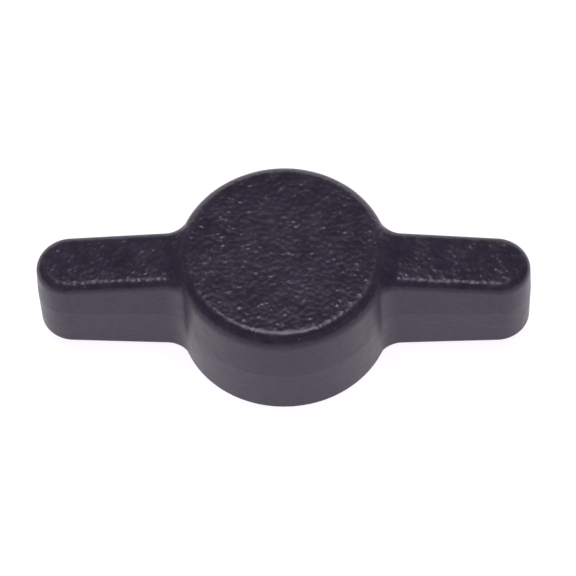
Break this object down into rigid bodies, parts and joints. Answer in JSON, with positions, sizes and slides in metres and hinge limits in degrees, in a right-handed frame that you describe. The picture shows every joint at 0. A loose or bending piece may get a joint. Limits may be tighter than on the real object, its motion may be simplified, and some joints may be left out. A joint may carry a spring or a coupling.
{
  "type": "wing nut",
  "caption": "Low wing nut: a round closed hub with two stub wings, moulded in black nylon over a knurled brass insert with a blind thread that opens underneath.",
  "frame": {"origin": "on the thread axis, in the brass insert's seating face at the underside", "axes": "+Z along the thread axis from the seating face up through the closed hub; +X along one wing, tip to tip; +Y across the hub"},
  "size_m": [0.029, 0.0126, 0.0072],
  "materials": {
    "nylon": "black moulded nylon, spark-eroded grain on top, finer on the sides",
    "brass": "turned and tapped, dull"
  },
  "bodies": {
    "root": {"wing_body": "nylon", "threaded_insert": "brass"}
  },
  "joints": []
}
